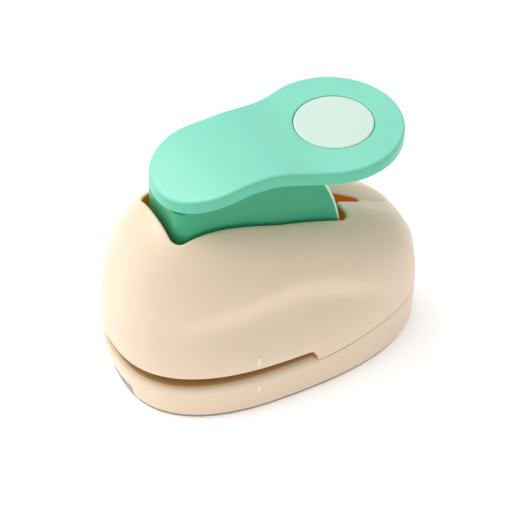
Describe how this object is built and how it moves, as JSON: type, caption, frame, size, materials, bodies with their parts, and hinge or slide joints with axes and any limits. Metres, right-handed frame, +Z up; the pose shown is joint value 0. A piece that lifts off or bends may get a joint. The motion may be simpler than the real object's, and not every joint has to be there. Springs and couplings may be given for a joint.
{
  "type": "lever circle punch",
  "caption": "Hand lever punch that cuts a round shape from paper slid into its front throat, with a sprung lever, a steel punch and die, and a hinged waste door underneath.",
  "frame": {"origin": "centre of the underside's bounding box, on the surface that the punch stands on", "axes": "+Z up, +Y to the rear, away from the paper throat and the lever's pivot, +X to the right"},
  "size_m": [0.0638, 0.107, 0.0836],
  "materials": {
    "cream_plastic": "satin moulded",
    "mint_plastic": "satin moulded",
    "pale_plastic": "satin inlay",
    "grey_plastic": "fine spark texture",
    "bright_steel": "bright zinc plated",
    "tool_steel": "ground",
    "spring_steel": "drawn wire",
    "white_acetal": "satin"
  },
  "bodies": {
    "housing": {"upper_shell": "cream_plastic", "base_housing": "cream_plastic", "bottom_frame": "grey_plastic", "die_plate": "tool_steel", "guide_plate": "tool_steel", "lever_pin": "bright_steel", "waste_door_pin": "bright_steel", "frame_post_left": "bright_steel", "frame_screw_left": "bright_steel", "lever_bracket_left": "bright_steel", "bracket_screw_left": "bright_steel", "guide_pin_left": "bright_steel", "housing_screw_front_left": "bright_steel", "housing_screw_rear_left": "bright_steel", "bottom_frame_screw_left": "bright_steel", "return_spring_left": "spring_steel", "pin_clip_left": "spring_steel", "frame_post_right": "bright_steel", "frame_screw_right": "bright_steel", "lever_bracket_right": "bright_steel", "bracket_screw_right": "bright_steel", "guide_pin_right": "bright_steel", "housing_screw_front_right": "bright_steel", "housing_screw_rear_right": "bright_steel", "bottom_frame_screw_right": "bright_steel", "return_spring_right": "spring_steel", "pin_clip_right": "spring_steel"},
    "lever": {"lever": "mint_plastic", "shape_badge": "pale_plastic"},
    "ram": {"ram": "white_acetal", "punch": "tool_steel", "punch_screw": "bright_steel"},
    "waste_door": {"waste_door": "grey_plastic"}
  },
  "joints": [
    {"name": "lever_hinge", "type": "hinge", "parent": "housing", "child": "lever", "pos_m": [0, -0.0368, 0.044], "axis": [-1, 0, 0], "range_deg": [0, 18], "stiffness_Nm_per_rad": 0.2, "springref_deg": -11.46},
    {"name": "ram_slide", "type": "slide", "parent": "housing", "child": "ram", "axis": [0, 0, -1], "range_m": [0, 0.0065], "stiffness_N_per_m": 200, "springref_m": -0.004, "deforming": ["return_spring_left", "return_spring_right"]},
    {"name": "waste_door_hinge", "type": "hinge", "parent": "housing", "child": "waste_door", "pos_m": [0, 0.0342, 0.0019], "axis": [1, 0, 0], "range_deg": [0, 75]}
  ],
  "couplings": [
    {"joint": "ram_slide", "follows": "lever_hinge", "m_per_rad": 0.02}
  ]
}
